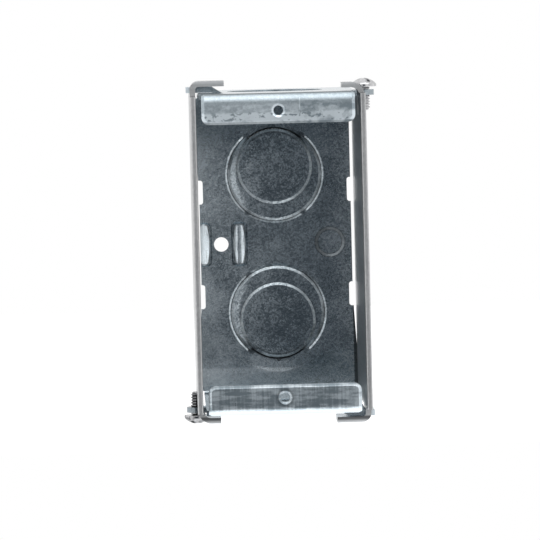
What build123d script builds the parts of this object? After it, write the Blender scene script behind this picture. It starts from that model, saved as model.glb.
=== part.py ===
from build123d import *
import math
import os

# A single-gang masonry box: a folded strip of galvanised sheet, two side plates and two clamp screws.
# Sizes are in millimetres. X is the width seen from the front, +Y runs into the wall and +Z is up.
# The origin is the middle of the back panel's outer face.

# Sheet and its folds
sheet = 1.6
bend_inside = 0.8

# Folded strip: front flange, top panel, back panel, bottom panel, front flange
depth = 63.5
body_width = 45.8
body_height = 93.5
flange_height = 8.9
flange_inset = 0.65
flange_corner = 2.2
flange_ease = 0.9
flange_ease_depth = 0.35

# Tapped holes for the wiring device, each drawn through into a short collar
device_edge = 5.08
device_hole_r = 1.4
device_lead_in = 0.6
device_lead_depth = 0.3
collar_wall = 0.7
collar_length = 1.2

# Eccentric knockouts: a small disc inside a larger one, both half sheared towards the inside
ko_large_r = 14.1
ko_small_r = 11.4
ko_rim = 0.4
ko_step = 0.4
ko_back_spacing = 42.0
ko_end_setback = 28.0
roll_width = 0.75
roll_depth = 0.2
slit_width = 0.45
slit_depth = 1.0
tie_angle = 36.0
tie_width = 1.6
tie_reach = 0.8
nick_r = 1.2
press_mark_r = 17.7
press_mark_span = 64.0
press_mark_width = 0.8
press_mark_depth = 0.15

# Fixing hole with a pressed, arched rib on each side, and a plain round stamp across from it
fixing_edge = 6.3
fixing_hole_r = 2.2
rib_inner_offset = 5.5
rib_outer_offset = 5.3
rib_width = 3.2
rib_length = 11.6
rib_corner = 0.9
rib_rise = 0.85
rib_arch_r = 2.7
rib_groove = 0.45
rib_groove_depth = 0.3
rib_shoulder = 0.45
rib_wall = 0.5
rib_channel_depth = 0.6
stamp_edge = 6.6
stamp_r = 4.5
stamp_slope = 0.8
stamp_depth = 0.2

# Notches in the side edges of the back panel
notch_spacing = 31.7
notch_height = 7.3
notch_depth = 1.1
notch_corner = 0.8

# Sloping shoulders on the back panel's sides, which narrow the side gaps and close them at three corners
open_gap_height = 63.0
shoulder_clearance = 0.02

# Clamp screws
thread_r = 1.75
thread_clearance = 0.05
screw_length = 6.9
screw_point = 0.7
screw_setback = 17.5
screw_standoff = 0.2
head_r = 3.75
head_height = 2.6
head_rim = 0.8
head_crown_r = 2.0
head_gap = 0.8
slot_width = 1.0
slot_depth = 1.1
slot_angle = 30.0

# Screw lugs, and the raised ears that lie over the lugs of a neighbouring box
gang_clearance = 0.24
lug_width = 6.0
lap_clearance = 0.3
ear_width = 10.0
ear_lance = 7.1
ear_ramp = 3.1
ear_overhang = 1.1
ear_slot_clearance = 0.25
lance_gap = 0.3

# Side plates
plate_gap = 0.9
plate_inset = 0.75
plate_setback = 0.3
lug_notch_corner = 1.2
edge_round = 0.45
short_tab_bend_inside = 2.4
long_tab_bend_inside = 1.0
short_tab_reach = 6.7
short_tab_lift = 0.9
short_tab_width = 6.5
short_tab_gap = 0.75
long_tab_reach = 10.0
long_tab_width = 12.0
seat_clearance = 0.15
window_clearance = 0.3
rest_margin = 1.0
head_clearance = 0.15
tip_clearance = 1.5

# Places worked out from the sizes above
half_width = body_width / 2
half_height = body_height / 2
device_spacing = body_height - 2 * device_edge
gang_pitch = body_width + gang_clearance
bend_outside = bend_inside + sheet
bend_line = half_height - bend_outside
flange_end = half_height - flange_height
ko_offset = ko_large_r - ko_small_r - ko_rim
fixing_x = fixing_edge - half_width
stamp_x = half_width - stamp_edge
plate_inner = half_width + plate_gap
plate_outer = plate_inner + sheet
plate_top = half_height - plate_inset
screw_x = plate_outer + screw_standoff
screw_y = screw_setback - depth
head_seat = half_height + head_gap
head_top = head_seat + head_height
screw_tip = head_seat - screw_length
lug_length = screw_x - half_width + lug_width
ear_rise = sheet + lap_clearance
ear_top = half_height + ear_rise
ear_root = half_width - ear_lance
ear_crest = ear_root + ear_ramp
ear_tip = plate_outer + ear_overhang
ear_slot_x = gang_pitch - screw_x
ear_slot_r = thread_r + ear_slot_clearance
short_tab_y = screw_y - head_r - short_tab_gap - short_tab_width / 2
short_tab_top = half_height + short_tab_lift + sheet
long_tab_top = ear_top + seat_clearance + sheet
rest_top = head_seat - head_clearance
rest_width = 2 * (head_r + rest_margin)

# Planes on the inside of the back, top and bottom panels, each facing into the box
back_inside = Plane.XZ.offset(sheet)
top_inside = Plane((0, -ko_end_setback, half_height - sheet), (1, 0, 0), (0, 0, -1))
bottom_inside = Plane((0, -ko_end_setback, sheet - half_height), (-1, 0, 0), (0, 0, 1))


def pressed_disc(inside, centre, radius, step):
    """Half shear a disc out of its panel: raise it on the inside, with a rolled rim, and sink it outside."""
    with Locations(inside):
        with Locations((*centre, step - ko_step)):
            Cylinder(radius, ko_step - roll_depth, align=(Align.CENTER, Align.CENTER, Align.MIN))
        with Locations((*centre, step - roll_depth)):
            Cone(radius, radius - roll_width, roll_depth, align=(Align.CENTER, Align.CENTER, Align.MIN))
        with Locations((*centre, step - sheet)):
            Cylinder(radius, step, align=(Align.CENTER, Align.CENTER, Align.MAX), mode=Mode.SUBTRACT)


def knockout(inside, middle, away):
    """Cut one eccentric knockout. Its small disc lies towards the end that away points to, +1 or -1."""
    small_middle = middle + away * ko_offset
    with Locations(inside):
        with Locations((0, middle)):
            top = (Align.CENTER, Align.CENTER, Align.MAX)
            Cone(ko_large_r, ko_large_r + roll_width, roll_depth, align=top, mode=Mode.SUBTRACT)
            Cylinder(ko_large_r, roll_depth, align=top)
    pressed_disc(inside, (0, middle), ko_large_r, ko_step)

    # Between the far ties the panel runs up to a slit beside the small disc
    reach = 2 * ko_large_r
    side = Vector(0, away * reach).rotate(Axis.Z, tie_angle)
    with BuildSketch(inside) as far_rim:
        with BuildLine():
            Polyline((0, middle), (side.X, middle + side.Y), (-side.X, middle + side.Y), close=True)
        make_face()
        with Locations((0, middle)):
            Circle(ko_large_r + roll_width, mode=Mode.INTERSECT)
    extrude(far_rim.sketch, amount=ko_step, mode=Mode.SUBTRACT)
    extrude(far_rim.sketch, amount=-roll_depth)
    with BuildSketch(inside) as slit:
        with Locations((0, small_middle)):
            Circle(ko_small_r + slit_width)
        with Locations((0, small_middle + away * (ko_small_r + slit_width))):
            RegularPolygon(nick_r, 3, rotation=90 * away)
        add(far_rim.sketch_local, mode=Mode.INTERSECT)
        with Locations((0, small_middle)):
            Circle(ko_small_r, mode=Mode.SUBTRACT)
    extrude(slit.sketch, amount=-slit_depth, mode=Mode.SUBTRACT)
    with BuildSketch(inside) as small_disc:
        with Locations((0, small_middle)):
            Circle(ko_small_r)
    extrude(small_disc.sketch, amount=ko_step)
    pressed_disc(inside, (0, small_middle), ko_small_r, 2 * ko_step)

    with BuildSketch(inside.offset(-roll_depth)) as ties:
        with Locations((0, middle)):
            for angle in (90 - tie_angle, 90 + tie_angle, 270 - tie_angle, 270 + tie_angle):
                with PolarLocations(ko_large_r, 1, start_angle=angle):
                    Rectangle(2 * tie_reach, tie_width)
    extrude(ties.sketch, amount=roll_depth + ko_step / 2)


def press_mark(middle, away):
    """Press a shallow arc into the back panel beyond the far end of a knockout."""
    with BuildSketch(back_inside) as mark:
        first_angle = 90 * away - press_mark_span / 2
        arc = CenterArc((0, middle), press_mark_r, first_angle, press_mark_span, mode=Mode.PRIVATE)
        SlotArc(arc, press_mark_width)
    extrude(mark.sketch, amount=-press_mark_depth, mode=Mode.SUBTRACT)


def rib(middle):
    """Press one arched rib out of the back panel, with a groove round it and a plain channel behind it."""
    margin = 2 * (rib_groove + rib_shoulder)
    groove_corner = rib_corner + rib_groove + rib_shoulder
    with BuildSketch(back_inside) as groove:
        with Locations((middle, 0)):
            RectangleRounded(rib_width + margin, rib_length + margin, groove_corner)
    groove_slope = math.degrees(math.atan2(rib_shoulder, rib_groove_depth))
    extrude(groove.sketch, amount=-rib_groove_depth, taper=groove_slope, mode=Mode.SUBTRACT)
    with BuildPart(mode=Mode.PRIVATE) as arch:
        with BuildSketch(back_inside.offset(-rib_groove_depth)):
            with Locations((middle, 0)):
                RectangleRounded(rib_width, rib_length, rib_corner)
        extrude(amount=rib_groove_depth + rib_rise)
        with Locations((middle, rib_arch_r - rib_rise - sheet, 0)):
            Cylinder(rib_arch_r, 2 * rib_length, mode=Mode.INTERSECT)
    add(arch.part)
    with BuildSketch(Plane.XZ) as channel:
        with Locations((middle, 0)):
            RectangleRounded(rib_width - 2 * rib_wall, rib_length - 2 * rib_wall, rib_corner - rib_wall)
    extrude(channel.sketch, amount=rib_channel_depth, mode=Mode.SUBTRACT)


def tab(middle, turn, reach, top, width, bend_inside):
    """Fold a tab from the edge of the right plate in over the box. A turn of 180 puts it at the bottom."""
    with BuildSketch(Plane.XZ.offset(-middle).rotated((turn, 0, 0))) as profile:
        with BuildLine():
            FilletPolyline(
                (plate_outer, plate_top - bend_inside - sheet),
                (plate_outer, top),
                (plate_outer - reach, top),
                radius=bend_inside + sheet,
            )
            offset(amount=sheet, side=Side.LEFT)
        make_face()
    extrude(profile.sketch, amount=width / 2, both=True)


# Box body, folded from one strip
with BuildPart() as body:
    with BuildSketch(Plane.YZ):
        with BuildLine():
            FilletPolyline(
                (-depth, flange_end),
                (-depth, half_height),
                (0, half_height),
                (0, -half_height),
                (-depth, -half_height),
                (-depth, -flange_end),
                radius=bend_outside,
            )
            offset(amount=sheet, side=Side.RIGHT)
        make_face()
    extrude(amount=half_width, both=True)

    # Front flanges: narrowed at the sides, with rounded free corners
    with BuildSketch(Plane.XZ.offset(depth)):
        with GridLocations(2 * half_width - flange_inset, half_height + flange_end, 2, 2):
            Rectangle(flange_inset, flange_height)
    extrude(amount=-bend_outside, mode=Mode.SUBTRACT)
    across = body.edges().filter_by(Axis.Y)
    fillet(across.filter_by(lambda e: abs(e.center().Z) < flange_end + flange_corner), flange_corner)

    # Device holes, then the eased front edges of the holes and flanges
    with BuildSketch(Plane.XZ.offset(depth - sheet)):
        with GridLocations(0, device_spacing, 1, 2):
            Circle(device_hole_r + collar_wall)
    extrude(amount=-collar_length)
    with Locations(Plane.XZ.offset(depth)):
        with GridLocations(0, device_spacing, 1, 2):
            Hole(device_hole_r, depth=sheet + collar_length)
    for end in (0, -1):
        front = body.faces().filter_by(Axis.Y).group_by(Axis.Y)[0].sort_by(Axis.Z)[end]
        chamfer(front.inner_wires().edges(), device_lead_in, device_lead_depth, reference=front)
        front = body.faces().filter_by(Axis.Y).group_by(Axis.Y)[0].sort_by(Axis.Z)[end]
        rim = front.outer_wire().edges().filter_by(lambda e: abs(e.center().Z) < bend_line - flange_ease)
        chamfer(rim, flange_ease, flange_ease_depth, reference=front)

    # Back panel: ribs with their channels behind, fixing hole, stamp, knockouts, shoulders and side notches
    for middle in (fixing_x - rib_outer_offset, fixing_x + rib_inner_offset):
        rib(middle)
    with BuildSketch(Plane.XZ):
        with Locations((-half_width - rib_width / 2, 0)):
            Rectangle(rib_width, 2 * rib_length)
    extrude(amount=sheet + rib_rise, mode=Mode.SUBTRACT)
    with Locations(back_inside):
        with Locations((fixing_x, 0)):
            Hole(fixing_hole_r, depth=sheet)
    with Locations(back_inside):
        with Locations((stamp_x, 0)):
            top = (Align.CENTER, Align.CENTER, Align.MAX)
            Cone(stamp_r - stamp_slope, stamp_r, stamp_depth, align=top, mode=Mode.SUBTRACT)
    for away in (1, -1):
        knockout(back_inside, away * ko_back_spacing / 2, away)
        press_mark(away * ko_back_spacing / 2, away)
    shoulder_x = half_width + plate_gap - shoulder_clearance
    with BuildSketch(Plane.XZ):
        for side, end in ((-1, 1), (-1, -1), (1, -1)):
            with BuildLine():
                Polyline(
                    (side * half_width, end * notch_spacing / 2),
                    (side * shoulder_x, end * open_gap_height / 2),
                    (side * shoulder_x, end * bend_line),
                    (side * half_width, end * bend_line),
                    close=True,
                )
            make_face()
    extrude(amount=sheet)
    with BuildSketch(Plane.XZ):
        with GridLocations(2 * half_width, notch_spacing, 2, 2):
            RectangleRounded(2 * notch_depth, notch_height, notch_corner)
    extrude(amount=sheet, mode=Mode.SUBTRACT)

    # Top and bottom panels: one knockout each, then a screw lug on one side and a raised ear on the other
    knockout(top_inside, 0, -1)
    knockout(bottom_inside, 0, -1)
    for turn in (0, 180):
        outside = Plane.XY.rotated((0, turn, 0)).offset(half_height)
        with BuildSketch(outside):
            with Locations((screw_x - lug_length / 2, screw_y)):
                SlotCenterToCenter(lug_length, lug_width)
        extrude(amount=-sheet)
        with Locations(outside):
            with Locations((screw_x, screw_y)):
                Hole(thread_r + thread_clearance, depth=sheet)
        with BuildSketch(outside):
            with Locations((-half_width, screw_y)):
                Rectangle(2 * ear_lance, ear_width + 2 * lance_gap)
        extrude(amount=-sheet, mode=Mode.SUBTRACT)
        with BuildSketch(Plane.XZ.offset(-screw_y).rotated((0, turn, 0))):
            with BuildLine():
                Polyline(
                    (-ear_root + sheet, half_height),
                    (-ear_root, half_height),
                    (-ear_crest, ear_top),
                    (-ear_tip, ear_top),
                    (-ear_tip, ear_top - sheet),
                    (-ear_crest, ear_top - sheet),
                    (-ear_root, half_height - sheet),
                    (-ear_root + sheet, half_height - sheet),
                    close=True,
                )
            make_face()
        extrude(amount=ear_width / 2, both=True)
        with BuildSketch(outside):
            with Locations((-ear_slot_x - ear_width, screw_y)):
                SlotCenterToCenter(2 * ear_width, 2 * ear_slot_r)
        extrude(amount=2 * ear_rise, mode=Mode.SUBTRACT)

# Side plate on the right: its screw corner is at the top and its ear corner at the bottom
with BuildPart() as right_plate:
    with BuildSketch(Plane.YZ.offset(plate_inner)):
        with Locations((-(depth + plate_setback) / 2, 0)):
            Rectangle(depth - plate_setback, 2 * plate_top)
        with Locations((screw_y, rest_top - rest_width / 2)):
            Rectangle(rest_width, rest_width)
    extrude(amount=sheet)
    front_edges = right_plate.edges().filter_by(Axis.Z).group_by(Axis.Y)[0]
    fillet(front_edges, edge_round)
    tab(short_tab_y, 0, short_tab_reach, short_tab_top, short_tab_width, short_tab_bend_inside)
    tab(screw_y, 180, long_tab_reach, long_tab_top, long_tab_width, long_tab_bend_inside)

    # Notch that clears the lug and the screw's thread, open at the top edge
    lug_notch_floor = screw_tip - tip_clearance
    with BuildSketch(Plane.YZ.offset(plate_inner)):
        with Locations((screw_y, lug_notch_floor + half_height / 2)):
            RectangleRounded(lug_width + 2 * window_clearance, half_height, lug_notch_corner)
    extrude(amount=sheet, mode=Mode.SUBTRACT)

    # Window for the ear, just inside the long tab
    window_height = sheet + seat_clearance + window_clearance
    with BuildSketch(Plane.YZ.offset(half_width)):
        with Locations((screw_y, -(ear_top + seat_clearance - window_height / 2))):
            Rectangle(ear_width + 2 * window_clearance, window_height)
    extrude(amount=plate_gap + 2 * sheet, mode=Mode.SUBTRACT)

# The left plate is the same part, turned half round about the depth
with BuildPart() as left_plate:
    add(right_plate.part, rotation=(0, 180, 0))

# Clamp screw at the top right: a raised, slotted head on a pointed shank
with BuildPart() as upper_screw:
    with BuildSketch(Plane.XZ.offset(-screw_y)):
        with BuildLine():
            Polyline(
                (screw_x, head_top),
                (screw_x, screw_tip),
                (screw_x + thread_r - screw_point, screw_tip),
                (screw_x + thread_r, screw_tip + screw_point),
                (screw_x + thread_r, head_seat),
                (screw_x + head_r, head_seat),
                (screw_x + head_r, head_seat + head_rim),
                (screw_x + head_crown_r, head_top),
                close=True,
            )
        make_face()
    revolve(axis=Axis((screw_x, screw_y, 0), (0, 0, 1)))
    with Locations(Location((screw_x, screw_y, head_top), (0, 0, slot_angle))):
        Box(slot_width, 2 * head_r, 2 * slot_depth, mode=Mode.SUBTRACT)

# The screw at the bottom left is the same part, turned half round with its plate
with BuildPart() as lower_screw:
    add(upper_screw.part, rotation=(0, 180, 0))

body.part.label = "box_body"
right_plate.part.label = "right_side_plate"
left_plate.part.label = "left_side_plate"
upper_screw.part.label = "upper_screw"
lower_screw.part.label = "lower_screw"

os.makedirs("parts", exist_ok=True)
for piece in (body, right_plate, left_plate, upper_screw, lower_screw):
    export_step(piece.part, f"parts/{piece.part.label}.step")
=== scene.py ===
import math

import bmesh
import bpy
from mathutils import Matrix, Vector


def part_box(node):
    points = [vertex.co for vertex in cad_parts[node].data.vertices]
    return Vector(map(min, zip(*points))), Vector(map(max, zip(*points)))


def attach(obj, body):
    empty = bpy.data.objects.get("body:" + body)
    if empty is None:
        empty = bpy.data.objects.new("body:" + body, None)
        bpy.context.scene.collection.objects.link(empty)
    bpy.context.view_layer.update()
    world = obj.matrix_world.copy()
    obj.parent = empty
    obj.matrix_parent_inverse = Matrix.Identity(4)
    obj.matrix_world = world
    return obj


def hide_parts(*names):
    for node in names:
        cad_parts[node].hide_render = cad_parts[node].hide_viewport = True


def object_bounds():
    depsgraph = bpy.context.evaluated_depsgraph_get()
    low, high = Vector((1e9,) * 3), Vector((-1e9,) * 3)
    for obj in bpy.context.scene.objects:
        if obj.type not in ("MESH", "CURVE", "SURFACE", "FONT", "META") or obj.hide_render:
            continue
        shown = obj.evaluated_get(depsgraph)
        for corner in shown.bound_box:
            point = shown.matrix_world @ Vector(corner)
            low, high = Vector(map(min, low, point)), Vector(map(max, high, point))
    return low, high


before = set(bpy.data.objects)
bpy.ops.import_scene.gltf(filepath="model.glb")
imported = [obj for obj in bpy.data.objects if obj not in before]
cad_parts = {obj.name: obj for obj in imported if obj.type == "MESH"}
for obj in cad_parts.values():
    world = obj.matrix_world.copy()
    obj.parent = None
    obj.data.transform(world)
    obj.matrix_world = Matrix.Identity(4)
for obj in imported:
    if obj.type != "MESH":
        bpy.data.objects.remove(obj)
cad_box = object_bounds()
scene = bpy.context.scene
MM = 0.001

# Camera: where it stands, the point at the middle of the picture, and how far the picture is rolled
CAMERA_AT = Vector((-36.0, -1400.0, 74.0)) * MM
CAMERA_TARGET = Vector((-3.55, -63.5, -4.49)) * MM
CAMERA_ROLL = math.radians(1.423)
CAMERA_LENS = 308.3
CAMERA_SENSOR = 36.0
CAMERA_CLIP = (0.05, 50.0)

# Floor: white paper that ends a little in front of the object, with room for the lower screw to back out
FLOOR_SIZE = 300.0 * MM
FLOOR_FRONT = -78.0 * MM
FLOOR_GAP = 4.5 * MM
FLOOR_GLOW = 0.86
FLOOR_COLOUR = (0.85, 0.85, 0.85, 1.0)
WHITE = (1.0, 1.0, 1.0, 1.0)

# Surroundings: the middle of the dim room, the angles between which the tent takes over, and their levels
ROOM_AXIS = Vector((-0.08, -1.0, -0.16)).normalized()
ROOM_EDGE = (math.radians(12.0), math.radians(25.0))
ROOM_COLOUR = (0.7, 0.84, 1.0, 1.0)
ROOM_LIGHT = 0.08
TENT_LIGHT = 0.4

# Key light, in metres and watts
KEY_AT = Vector((0.05, -0.29, 0.42))
KEY_AIM = Vector((0.0, -0.06, 0.03))
KEY_SIZE = (0.6, 0.5)
KEY_POWER = 1.1

# Zinc: its colours and finish, how wide (in mm), uneven and tilted its crystals are, and its mean tone
SHEET_LOOK = {
    "dark": (0.3, 0.36, 0.4),
    "light": (0.77, 0.85, 0.9),
    "metallic": 0.9,
    "roughness": 0.2,
    "grain": 0.5,
    "mottle": 1.5,
    "tilt": 0.025,
    "tone": 0.5,
}
PLATE_LOOK = {
    "dark": (0.38, 0.385, 0.39),
    "light": (0.8, 0.81, 0.82),
    "metallic": 0.9,
    "roughness": 0.24,
    "grain": 0.8,
    "mottle": 0.2,
    "tilt": 0.006,
    "tone": 0.26,
}
SCREW_LOOK = {
    "dark": (0.45, 0.45, 0.46),
    "light": (0.8, 0.8, 0.81),
    "metallic": 1.0,
    "roughness": 0.15,
    "grain": 0.5,
    "mottle": 0.6,
    "tilt": 0.01,
    "tone": 0.5,
}
# The colour that grime and painted shade darken the zinc towards
GRIME_AND_SHADE = (0.03, 0.033, 0.036)
CREVICE = 0.7 * MM

# Edge rounding: its radius, and the angle in degrees that an edge turns by before it is rounded
SHEET_ROUNDING = 0.12 * MM
SHEET_ROUNDING_LIMIT = 12.0
PLATE_ROUNDING = 0.4 * MM
PLATE_ROUNDING_LIMIT = 40.0

# Places on the pieces, in millimetres, as in the solids
FRONT_Y = -63.5
HOLE_Z = 41.67
KNOCKOUT_Z = 21.0
KNOCKOUT_R = 14.1
DISC_Z = 23.3
TIE_ANGLE = math.radians(36.0)
LEFT_RIB_X = -21.9
RIGHT_RIB_X = -11.1
RIB_REACH = (1.9, 3.0, 7.0)
RING_X = 16.3
RING_R = 4.1
SHORT_TAB_Z = 47.65
LONG_TAB_RAISE = 1.15

# Soft limits of the places, each from where it starts to where it is full
BACK_Y = (-4.0, -3.0)
FRONT_FLANGE_Y = (-60.5, -61.5)
LOWER_BEND_Z = (-44.8, -45.8)
UPPER_FLAT_Z = (44.0, 43.0)
# The strip of the upper flange that carries a painted reflection
SHEEN_BAND_TOP_Z = (41.6, 40.6)
SHEEN_BAND_FOOT_Z = (38.4, 39.2)
FREE_EDGE_Z = (38.9, 38.3)
BOTTOM_Z = (-44.0, -44.8)
OUTSIDE_X = (25.2, 25.5)
LEVEL_FACE = (0.8, 0.95)
UPPER_SHANK_Z = (47.6, 47.4)
LOWER_SHANK_Z = (-47.6, -47.4)

# Marks on the flanges: the middle and half size in x and z, how soft the edge is, and the change of tone
FLANGE_MARKS = (
    ((6.2, 43.4), (0.25, 2.3), 0.4, 0.45),
    ((11.0, 43.3), (5.0, 1.6), 0.9, -0.25),
    ((-15.0, -40.2), (5.0, 0.8), 0.6, -0.8),
    ((-22.0, -42.0), (4.0, 5.0), 0.8, 0.4),
    ((0.5, -39.5), (3.4, 0.9), 0.7, -0.5),
)

# Clamp screws, in millimetres, as in the solids, with the head a hair inside them
THREAD_R = 1.75
THREAD_ROOT_R = 1.28
THREAD_PITCH = 0.794
SCREW_LENGTH = 6.9
SCREW_POINT = 0.7
HEAD_R = 3.74
HEAD_HEIGHT = 2.6
HEAD_RIM = 0.8
HEAD_EDGE = 0.12
HEAD_OVERLAP = 0.02
SLOT_WIDTH = 1.0
SLOT_DEPTH = 1.1
SLOT_ANGLE = 30.0
SHANK_SIDES = 48
ROWS_PER_PITCH = 16
DOME_STEPS = 13
SHARP_ANGLE = math.radians(35)


class Nodes:
    """Adds nodes to one tree, taking plain values or other nodes' outputs as inputs."""

    def __init__(self, tree):
        self.tree = tree
        tree.nodes.clear()

    def add(self, kind, inputs=None, **settings):
        made = self.tree.nodes.new("ShaderNode" + kind)
        for name, value in settings.items():
            setattr(made, name, value)
        for key, value in (inputs or {}).items():
            if isinstance(value, bpy.types.NodeSocket):
                self.tree.links.new(value, made.inputs[key])
            else:
                made.inputs[key].default_value = value
        return made

    def math(self, operation, first, second=0.0, clamp=False):
        made = self.add("Math", {0: first, 1: second}, operation=operation, use_clamp=clamp)
        return made.outputs[0]

    def size(self, value):
        return self.math("ABSOLUTE", value)

    def product(self, *factors):
        total = factors[0]
        for factor in factors[1:]:
            total = self.math("MULTIPLY", total, factor)
        return total

    def weighted(self, parts):
        """Add up values, each times its weight."""
        total = 0.0
        for value, weight in parts:
            total = self.math("ADD", self.math("MULTIPLY", value, weight), total)
        return total

    def ramp(self, value, low, high, to_low=0.0, to_high=1.0):
        made = self.add("MapRange", {0: value, 1: low, 2: high, 3: to_low, 4: to_high})
        made.interpolation_type = "SMOOTHSTEP"
        return made.outputs[0]

    def vector(self, operation, first, second=(0.0, 0.0, 0.0)):
        return self.add("VectorMath", {0: first, 1: second}, operation=operation).outputs[0]

    def scaled(self, vector, factor):
        return self.add("VectorMath", {0: vector, "Scale": factor}, operation="SCALE").outputs[0]

    def length(self, vector):
        return self.add("VectorMath", {0: vector}, operation="LENGTH").outputs["Value"]

    def split(self, vector):
        return self.add("SeparateXYZ", {0: vector}).outputs

    def blend(self, share, first, second):
        """Mix two colours, each a socket or a plain one."""
        first, second = ((*c, 1.0) if isinstance(c, tuple) else c for c in (first, second))
        return self.add("Mix", {0: share, 6: first, 7: second}, data_type="RGBA").outputs[2]


class Wear:
    """Where each point of a piece is (in mm), which way it faces, and what the marks on it do.

    tone, the list of grime and painted shade, dull, lift and level each gather pairs of a mask and a weight.
    They change how light the zinc is, partly as painted light, how grimy or darkened with painted shade, how
    rough, how far it leans up, and how far it is levelled from side to side.
    """

    def __init__(self, n, mm):
        self.n = n
        self.mm = mm
        self.x, self.y, self.z = n.split(mm)
        self.normal_x, self.normal_y, self.normal_z = n.split(n.add("NewGeometry").outputs["Normal"])
        self.mottling = 1.0
        self.tone = []
        self.soil_and_shade = []
        self.dull = []
        self.lift = []
        self.level = []

    def spot(self, centre, reach, softness):
        """A soft-edged oval region, given by its centre and half sizes."""
        n = self.n
        away = n.vector("DIVIDE", n.vector("SUBTRACT", self.mm, centre), reach)
        return n.ramp(n.length(away), 1.0 - softness, 1.0, 1.0, 0.0)

    def ring(self, x, z, radius, width):
        """A soft band round a circle that faces the front."""
        n = self.n
        flat = n.vector("MULTIPLY", n.vector("SUBTRACT", self.mm, (x, 0.0, z)), (1.0, 0.0, 1.0))
        off = n.size(n.math("SUBTRACT", n.length(flat), radius))
        return n.ramp(off, width / 4, width / 2, 1.0, 0.0)

    def noise(self, stretch, low, high):
        """Noise with its own scale along each axis, cut off softly between two levels."""
        n = self.n
        stretched = n.vector("MULTIPLY", self.mm, stretch)
        made = n.add("TexNoise", {"Vector": stretched, "Scale": 1.0, "Detail": 3.0})
        return n.ramp(made.outputs[0], low, high)


def zinc(name, look, dress):
    """Zinc-coated steel: faint crystals, each tilted a little, and cloudy stains. Crevices are darkened with
    painted shade.

    dress(wear) adds the marks of one kind of piece.
    """
    material = bpy.data.materials.new(name)
    material.use_nodes = True
    n = Nodes(material.node_tree)
    grain = look["grain"]
    mm = n.scaled(n.add("TexCoord").outputs["Object"], 1 / MM)
    wander = n.add("TexNoise", {"Vector": mm, "Scale": 1.1 / grain, "Detail": 2.0}).outputs["Color"]
    warped = n.vector("ADD", mm, n.scaled(wander, 0.9 * grain))
    crystals = n.add("TexVoronoi", {"Vector": warped, "Scale": 1.0 / grain}).outputs["Color"]
    crystal = n.add("SeparateColor", {0: crystals}).outputs[0]
    fine = n.add("TexNoise", {"Vector": mm, "Scale": 1.6 / grain, "Detail": 2.0}).outputs[0]
    cloudy = n.add("TexNoise", {"Vector": mm, "Scale": 0.09, "Detail": 5.0, "Roughness": 0.62})
    clouds = cloudy.outputs[0]
    wear = Wear(n, mm)
    dress(wear)

    uneven = n.weighted([(crystal, 0.45), (fine, 1.3), (clouds, 0.9)])
    uneven = n.product(n.math("SUBTRACT", uneven, 1.325), look["mottle"], wear.mottling)
    tone = n.math("ADD", uneven, n.weighted(wear.tone))
    tone = n.math("ADD", tone, look["tone"], clamp=True)
    colour = n.blend(tone, look["dark"], look["light"])
    # Painted shade: ambient occlusion darkens crevices towards the grime colour, and the marks' grime and
    # painted shade darken it further
    openness = n.add("AmbientOcclusion", {"Distance": CREVICE}, samples=8, only_local=True).outputs["AO"]
    clean_and_lit = n.ramp(openness, 0.4, 0.8, 0.2, 1.0)
    clean_and_lit = n.math("SUBTRACT", clean_and_lit, n.weighted(wear.soil_and_shade), clamp=True)
    colour = n.blend(clean_and_lit, GRIME_AND_SHADE, colour)

    rough = n.weighted([(fine, 0.08), (clouds, 0.16)])
    rough = n.math("ADD", rough, look["roughness"] - 0.12)
    rough = n.math("ADD", rough, n.weighted(wear.dull))

    tilted = n.scaled(n.vector("SUBTRACT", crystals, (0.5, 0.5, 0.5)), look["tilt"])
    tilted = n.scaled(tilted, wear.mottling)
    sideways = n.product(n.weighted(wear.level), wear.normal_x)
    lean = n.add("CombineXYZ", {0: sideways, 2: n.weighted(wear.lift)}).outputs[0]
    facing = n.vector("ADD", n.add("NewGeometry").outputs["Normal"], n.vector("ADD", tilted, lean))
    shader = n.add("BsdfPrincipled", {
        "Base Color": colour,
        "Metallic": look["metallic"],
        "Roughness": rough,
        "Normal": n.vector("NORMALIZE", facing),
    })
    n.add("OutputMaterial", {"Surface": shader.outputs[0]})
    return material


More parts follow.
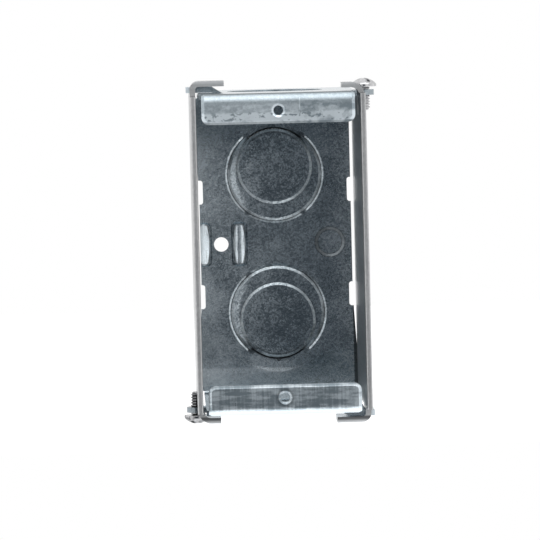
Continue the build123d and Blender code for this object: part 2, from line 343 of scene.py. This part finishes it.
def wear_flanges(wear, front):
    """The upper flange is blotchy and the lower one streaked, and both carry painted light and shade. Free
    edges are darker.
    """
    n = wear.n
    upper = n.product(front, n.ramp(wear.z, 0.0, 1.0))
    flat = n.product(upper, n.ramp(wear.z, *UPPER_FLAT_Z))
    crown = n.product(upper, n.ramp(wear.normal_z, *LEVEL_FACE))
    sheen_band = n.product(upper, n.ramp(wear.z, *SHEEN_BAND_TOP_Z), n.ramp(wear.z, *SHEEN_BAND_FOOT_Z))
    flecks = n.product(wear.noise((0.6, 0.1, 0.9), 0.54, 0.64), sheen_band)
    blotches = n.product(wear.noise((0.35, 0.1, 0.5), 0.42, 0.62), flat, n.ramp(wear.x, 2.0, 10.0, 0.4, 0.65))
    rightwards = n.product(n.ramp(wear.x, -6.0, 14.0), upper)
    # Painted light and shade: the upper flange's face is painted lighter and its bend a little darker, and
    # the strip near its foot lighter still, a painted reflection
    wear.tone += [(upper, -0.1), (flat, 0.32), (sheen_band, 0.68)]
    wear.tone += [(flecks, -1.15), (blotches, -1.0), (rightwards, -0.08)]
    # Painted shade: a dark line along the crown of the upper bend
    wear.soil_and_shade.append((crown, 0.7))
    wear.dull.append((upper, 0.18))

    whole = n.product(front, n.ramp(wear.z, 0.0, -1.0))
    bend = n.product(whole, n.ramp(wear.z, *LOWER_BEND_Z))
    lower = n.math("SUBTRACT", whole, bend)
    upright_streaks = n.product(wear.noise((1.7, 0.1, 0.06), 0.4, 0.65), lower)
    level_streaks = n.product(wear.noise((0.14, 0.1, 0.7), 0.4, 0.62), lower)
    hole = n.product(wear.ring(0.0, -HOLE_Z, 1.75, 2.4), front)
    left_end = n.product(n.ramp(wear.x, -21.7, -22.0), lower)
    # Painted shade and highlight: the lower flange is painted darker, and its bend lighter, a painted
    # highlight
    wear.tone += [(lower, -0.67), (bend, 0.6), (upright_streaks, 0.4), (level_streaks, 0.8)]
    # Painted shade at the lower flange's left end, beside the plate; the ring round the hole is darker
    wear.soil_and_shade += [(hole, 0.3), (left_end, 0.6)]
    wear.dull.append((lower, 0.1))

    free_edges = n.product(n.ramp(n.size(wear.z), *FREE_EDGE_Z), front)
    wear.soil_and_shade.append((free_edges, 0.45))
    for (x, z), (reach_x, reach_z), softness, tone in FLANGE_MARKS:
        wear.tone.append((wear.spot((x, FRONT_Y, z), (reach_x, 4.0, reach_z), softness), tone))


def wear_panel(wear, panel):
    """The back panel is painted lighter to the left and low down, as painted light and a painted reflection,
    and is darker in the ring, with painted shade along its right side, in its lower corner and on the box's
    floor.
    """
    n = wear.n
    lit_leftwards = n.product(n.ramp(wear.x, 10.0, -22.0), panel)
    reflected_band = n.product(n.ramp(wear.z, -37.3, -38.0), n.ramp(wear.x, 14.0, -2.0), panel)
    pale = n.product(wear.spot((-1.0, -1.0, -36.0), (12.0, 6.0, 5.0), 0.8), panel)
    arc = n.product(wear.ring(0.0, -KNOCKOUT_Z, 17.6, 1.4), n.ramp(wear.z, -36.2, -37.4), panel)
    low = n.product(n.ramp(wear.z, -35.0, -38.0), panel)
    # Painted light: lighter towards the left; the marks low down paint a lighter band, a painted reflection
    # of the lower flange's inner face
    wear.tone += [(lit_leftwards, 0.2), (reflected_band, 0.25), (pale, 0.2), (low, 0.12)]
    wear.lift += [(lit_leftwards, 0.05), (reflected_band, 0.025), (pale, 0.03), (arc, 0.03)]

    pressed_ring = n.product(wear.ring(RING_X, 0.0, RING_R, 1.5), panel)
    right_side = n.product(n.ramp(wear.x, 22.7, 22.95), panel)
    shaded_corner = wear.spot((0.0, -2.5, -45.5), (7.0, 6.0, 2.2), 0.5)
    bottom = n.product(n.ramp(wear.normal_z, *LEVEL_FACE), n.ramp(wear.z, *BOTTOM_Z))
    # Painted shade along the right side beside the plate, in the lower back corner and on the box's floor;
    # the pressed ring is darker
    wear.soil_and_shade += [(pressed_ring, 0.7), (right_side, 0.8), (shaded_corner, 0.45), (bottom, 0.45)]


def wear_ribs(wear):
    """The ribs are painted lighter, a painted reflection, and lean up in streaks, the right one only along
    its flanks.
    """
    n = wear.n
    left = wear.spot((LEFT_RIB_X, -2.0, 0.0), RIB_REACH, 0.2)
    right = wear.spot((RIGHT_RIB_X, -2.0, 0.0), RIB_REACH, 0.2)
    from_middle = n.size(n.math("SUBTRACT", wear.x, RIGHT_RIB_X))
    flanks = n.product(right, n.ramp(from_middle, 0.4, 0.9, 0.1, 1.0))
    scratches = wear.noise((2.4, 0.1, 0.12), 0.3, 0.5)
    leaning_streaks = n.product(n.weighted([(left, 0.85), (flanks, 1.0)]), scratches)
    # Painted reflection: the ribs are painted lighter and their crevice shade is taken off
    wear.tone += [(left, 1.0), (right, 0.6)]
    wear.soil_and_shade += [(left, -0.7), (right, -0.4)]
    wear.level += [(left, -0.8), (right, -0.7)]
    wear.lift.append((leaning_streaks, 0.24))


def wear_knockouts(wear, panel):
    """Rims carry painted shade in places, most at the ties and in the slits where the discs meet, and the
    left crescents are bright.

    Gives the region of the small discs.
    """
    n = wear.n
    patchy = wear.noise((0.16, 0.1, 0.16), 0.42, 0.62)
    ends = n.ramp(n.size(wear.z), 29.5, 31.5)
    left = n.ramp(wear.x, -7.0, -12.0)
    both_discs = []
    for end in (1, -1):
        middle = KNOCKOUT_Z * end
        disc = DISC_Z * end
        both_discs.append((wear.spot((0.0, 0.0, disc), (10.6, 60.0, 10.6), 0.1), 1.0))
        rims = n.weighted([(wear.ring(0.0, middle, 14.2, 1.8), 1.0), (wear.ring(0.0, disc, 11.4, 1.4), 0.4)])
        meeting = n.product(wear.ring(0.0, disc, 11.0, 2.4), ends, panel)
        crescent = n.product(wear.ring(0.0, middle, 12.8, 3.0), left, panel)
        # Painted shade along the rims and in the slits where the discs meet
        wear.soil_and_shade += [(n.product(rims, patchy, panel), 0.35), (meeting, 0.5)]
        wear.lift.append((crescent, 0.065))
        for side in (-1, 1):
            for angle in (TIE_ANGLE, math.pi - TIE_ANGLE):
                across = KNOCKOUT_R * side * math.sin(angle)
                tie = wear.spot((across, -2.0, middle + KNOCKOUT_R * math.cos(angle)), (1.2, 3.0, 1.2), 0.6)
                # Painted shade at the ties
                wear.soil_and_shade.append((n.product(tie, panel), 0.35))
    discs = n.product(n.weighted(both_discs), panel)
    wear.tone.append((discs, -0.14))
    return discs


def wear_sheet(wear):
    """Marks on the folded strip, by place."""
    n = wear.n
    back = n.ramp(wear.y, *BACK_Y)
    panel = n.product(back, n.ramp(wear.normal_y, 0.6, 0.2))
    wear_flanges(wear, n.ramp(wear.y, *FRONT_FLANGE_Y))
    wear_panel(wear, panel)
    wear_ribs(wear)
    discs = wear_knockouts(wear, panel)

    outside = n.ramp(n.size(wear.x), *OUTSIDE_X)
    lug = n.product(outside, n.ramp(n.product(wear.x, wear.z), 0.0, 9.0))
    ear = n.math("SUBTRACT", outside, lug)
    wear.soil_and_shade.append((lug, n.ramp(wear.z, -1.0, 1.0, 0.55, 0.35)))
    wear.tone.append((ear, 0.5))
    wear.dull.append((ear, 0.25))
    wear.mottling = n.math("ADD", n.weighted([(back, 0.7), (discs, 0.3)]), 0.3)


def wear_plate(wear):
    """Cut edges are dull and faces are streaked; the tabs' edges carry a painted highlight, and painted shade
    on their inner side.
    """
    n = wear.n
    cut = n.ramp(wear.normal_y, -0.4, -0.9)
    face = n.ramp(n.size(wear.normal_x), 0.6, 0.9)
    raised = n.ramp(n.product(wear.x, wear.z), -1.0, 1.0, LONG_TAB_RAISE, 0.0)
    height = n.math("SUBTRACT", n.math("SUBTRACT", n.size(wear.z), SHORT_TAB_Z), raised)
    tab = n.product(n.ramp(height, -0.6, 0.0), cut)
    tab_inner_shade = n.product(tab, n.ramp(height, 1.5, 0.4))
    streaks = wear.noise((0.8, 0.03, 0.8), 0.35, 0.65)
    # Painted highlight on the tabs' edges
    wear.tone += [(streaks, 0.1), (tab, 0.8), (face, -0.08)]
    # Painted shade on the tabs' inner side, deepest on the lower tabs
    wear.soil_and_shade.append((tab_inner_shade, n.ramp(wear.z, -1.0, 1.0, 0.85, 0.35)))
    wear.dull += [(cut, 0.14), (face, 0.08)]


def wear_screw(wear):
    """Bright plating with darker patches, grimy on the lower screw and dull on the upper one's shank."""
    n = wear.n
    patches = wear.noise((0.5, 0.5, 0.5), 0.45, 0.6)
    lower = n.ramp(wear.z, 1.0, -1.0)
    lower_grime = n.weighted([(n.ramp(wear.z, *LOWER_SHANK_Z, 0.25, 0.5), 1.0), (patches, 0.5)])
    upper_shank = n.product(n.ramp(wear.z, *UPPER_SHANK_Z), n.ramp(wear.z, 0.0, 1.0))
    wear.tone.append((patches, -0.4))
    wear.soil_and_shade += [(lower, lower_grime), (upper_shank, -0.7)]
    wear.dull += [(patches, 0.06), (upper_shank, 0.35)]


def mesh_object(name, bm):
    mesh = bpy.data.meshes.new(name)
    bm.to_mesh(mesh)
    bm.free()
    made = bpy.data.objects.new(name, mesh)
    scene.collection.objects.link(made)
    return made


def turned(name, profile, sides, shift=None):
    """Turn a profile of (radius, height) round z. shift(angle, radius, height) may change the radius."""
    bm = bmesh.new()
    circles = []
    for radius, height in profile:
        circle = []
        for side in range(sides):
            angle = 2 * math.pi * side / sides
            r = shift(angle, radius, height) if shift else radius
            circle.append(bm.verts.new((r * math.cos(angle), r * math.sin(angle), height)))
        circles.append(circle)
    for lower, upper in zip(circles, circles[1:]):
        for side in range(sides):
            after = (side + 1) % sides
            bm.faces.new((lower[side], lower[after], upper[after], upper[side]))
    bm.faces.new(reversed(circles[0]))
    bm.faces.new(circles[-1])
    return mesh_object(name, bm)


def thread_radius(angle, radius, height):
    """The radius of a screw's flank at an angle and height, with flat crests and roots."""
    phase = (height / THREAD_PITCH - angle / (2 * math.pi)) % 1.0
    wave = min(1.0, max(0.0, 1.75 * (1.0 - abs(2.0 * phase - 1.0)) - 0.25))
    return min(radius, THREAD_ROOT_R + (THREAD_R - THREAD_ROOT_R) * wave)


def screw_shank(name):
    """A pointed shank with a cut thread, hanging down from the origin."""
    rows = round(SCREW_LENGTH / THREAD_PITCH * ROWS_PER_PITCH)
    profile = []
    for row in range(rows + 1):
        height = -SCREW_LENGTH * (1 - row / rows)
        point = THREAD_R - SCREW_POINT + (height + SCREW_LENGTH)
        profile.append((min(THREAD_R, point), height))
    return turned(name, profile, SHANK_SIDES, thread_radius)


def screw_head(name):
    """A domed head that stands on the origin."""
    dome = HEAD_HEIGHT - HEAD_RIM
    dome_r = (HEAD_R ** 2 + dome ** 2) / (2 * dome)
    profile = [
        (THREAD_ROOT_R, -HEAD_OVERLAP),
        (HEAD_R - HEAD_EDGE, 0.0),
        (HEAD_R, HEAD_EDGE),
        (HEAD_R, HEAD_RIM),
    ]
    for step in range(1, DOME_STEPS):
        radius = HEAD_R * math.cos(step / DOME_STEPS * math.pi / 2)
        profile.append((radius, HEAD_HEIGHT - dome_r + math.sqrt(dome_r ** 2 - radius ** 2)))
    return turned(name, profile, 2 * SHANK_SIDES)


def slot_cutter(name):
    bm = bmesh.new()
    bmesh.ops.create_cube(bm, size=1.0)
    made = mesh_object(name, bm)
    made.data.transform(Matrix.Diagonal((SLOT_WIDTH, 3 * HEAD_R, 2 * SLOT_DEPTH, 1.0)))
    made.data.transform(Matrix.Rotation(math.radians(SLOT_ANGLE), 4, "Z"))
    made.data.transform(Matrix.Translation((0.0, 0.0, HEAD_HEIGHT)))
    return made


def clamp_screw(name, node, body, upright):
    """A slotted, domed screw with a cut thread, in place of the plain one in the solids."""
    made = screw_head(name)
    cutter = slot_cutter(name + "_slot")
    shank = screw_shank(name + "_shank")
    for tool, operation in ((cutter, "DIFFERENCE"), (shank, "UNION")):
        change = made.modifiers.new(tool.name, "BOOLEAN")
        change.operation = operation
        change.object = tool
    bpy.context.view_layer.update()
    whole = bpy.data.meshes.new_from_object(made.evaluated_get(bpy.context.evaluated_depsgraph_get()))
    made.modifiers.clear()
    made.data = whole
    for helper in (shank, cutter):
        bpy.data.objects.remove(helper)

    low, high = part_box(node)
    tip = low.z if upright else high.z
    seat = tip + SCREW_LENGTH * MM if upright else tip - SCREW_LENGTH * MM
    middle = Vector(((low.x + high.x) / 2, (low.y + high.y) / 2, seat))
    turn = Matrix.Identity(4) if upright else Matrix.Rotation(math.pi, 4, "Y")
    made.data.transform(Matrix.Translation(middle) @ turn @ Matrix.Scale(MM, 4))
    for polygon in made.data.polygons:
        polygon.use_smooth = True
    made.data.set_sharp_from_angle(angle=SHARP_ANGLE)
    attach(made, body)
    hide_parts(node)
    return made


def soften_edges(solid, rounding, limit):
    """Round a solid's edges that turn by more than limit degrees, as shearing and coating leave them."""
    flat = solid.modifiers.new("flat", "DECIMATE")
    flat.decimate_type = "DISSOLVE"
    flat.angle_limit = math.radians(0.3)
    bevel = solid.modifiers.new("soften", "BEVEL")
    bevel.width = rounding
    bevel.segments = 3
    bevel.limit_method = "ANGLE"
    bevel.angle_limit = math.radians(limit)
    bevel.use_clamp_overlap = True
    bevel.harden_normals = False
    normals = solid.modifiers.new("normals", "WEIGHTED_NORMAL")
    normals.keep_sharp = False


# Materials and edges of the sheet pieces
sheet_zinc = zinc("sheet_zinc", SHEET_LOOK, wear_sheet)
plate_zinc = zinc("plate_zinc", PLATE_LOOK, wear_plate)
screw_zinc = zinc("screw_zinc", SCREW_LOOK, wear_screw)

for node, material, rounding, limit in (
    ("box_body", sheet_zinc, SHEET_ROUNDING, SHEET_ROUNDING_LIMIT),
    ("left_side_plate", plate_zinc, PLATE_ROUNDING, PLATE_ROUNDING_LIMIT),
    ("right_side_plate", plate_zinc, PLATE_ROUNDING, PLATE_ROUNDING_LIMIT),
):
    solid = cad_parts[node]
    solid.data.materials.clear()
    solid.data.materials.append(material)
    soften_edges(solid, rounding, limit)

# Clamp screws
for name, node, upright in (
    ("upper_clamp_screw", "upper_screw", True),
    ("lower_clamp_screw", "lower_screw", False),
):
    screw = clamp_screw(name, node, node, upright)
    screw.data.materials.clear()
    screw.data.materials.append(screw_zinc)

# Floor: white to the camera and to reflections, and still shaded where the object blocks the light
bm = bmesh.new()
bmesh.ops.create_grid(bm, x_segments=1, y_segments=1, size=FLOOR_SIZE)
floor = mesh_object("floor", bm)
floor.location = (0.0, FLOOR_FRONT + FLOOR_SIZE, cad_box[0].z - FLOOR_GAP)
paper = bpy.data.materials.new("paper")
paper.use_nodes = True
n = Nodes(paper.node_tree)
path = n.add("LightPath").outputs
seen = n.math("ADD", path["Is Camera Ray"], path["Is Glossy Ray"])
seen = n.math("ADD", seen, path["Is Transmission Ray"], clamp=True)
glow = n.add("Emission", {"Color": WHITE, "Strength": n.math("MULTIPLY", seen, FLOOR_GLOW)})
matt = n.add("BsdfDiffuse", {"Color": FLOOR_COLOUR})
both = n.add("AddShader", {0: glow.outputs[0], 1: matt.outputs[0]})
n.add("OutputMaterial", {"Surface": both.outputs[0]})
floor.data.materials.append(paper)

# World: a white tent, with a dim bluish room in a cone round the camera that only reflections and shade see
world = bpy.data.worlds.new("studio")
scene.world = world
world.use_nodes = True
n = Nodes(world.node_tree)
path = n.add("LightPath").outputs
direction = n.add("TexCoord").outputs["Generated"]
towards = n.add("VectorMath", {0: direction, 1: ROOM_AXIS}, operation="DOT_PRODUCT").outputs["Value"]
tent = n.ramp(towards, math.cos(ROOM_EDGE[1]), math.cos(ROOM_EDGE[0]), 1.0, 0.0)
mirrored = n.math("ADD", path["Is Glossy Ray"], path["Is Transmission Ray"])
seen = n.math("ADD", path["Is Camera Ray"], mirrored, clamp=True)
strength = n.math("ADD", n.math("MULTIPLY", seen, 1.0 - TENT_LIGHT), TENT_LIGHT)
white_share = n.math("ADD", path["Is Camera Ray"], tent, clamp=True)
room = n.add("Background", {"Color": ROOM_COLOUR, "Strength": ROOM_LIGHT})
white = n.add("Background", {"Color": WHITE, "Strength": strength})
mixed = n.add("MixShader", {0: white_share, 1: room.outputs[0], 2: white.outputs[0]})
n.add("OutputWorld", {"Surface": mixed.outputs[0]})

# Key light
lamp = bpy.data.lights.new("key", "AREA")
lamp.shape = "RECTANGLE"
lamp.size, lamp.size_y = KEY_SIZE
lamp.energy = KEY_POWER
key = bpy.data.objects.new("key", lamp)
scene.collection.objects.link(key)
key.location = KEY_AT
key.rotation_euler = (KEY_AIM - KEY_AT).to_track_quat("-Z", "Y").to_euler()

# Camera
camera = bpy.data.objects.new("camera", bpy.data.cameras.new("camera"))
scene.collection.objects.link(camera)
forward = (CAMERA_TARGET - CAMERA_AT).normalized()
up = Vector((math.sin(CAMERA_ROLL), 0.0, math.cos(CAMERA_ROLL)))
right = forward.cross(up).normalized()
up = right.cross(forward)
turn = Matrix((right, up, -forward)).transposed().to_4x4()
camera.matrix_world = Matrix.Translation(CAMERA_AT) @ turn
camera.data.lens = CAMERA_LENS
camera.data.sensor_width = CAMERA_SENSOR
camera.data.clip_start, camera.data.clip_end = CAMERA_CLIP
scene.camera = camera

scene.view_settings.view_transform = "Standard"
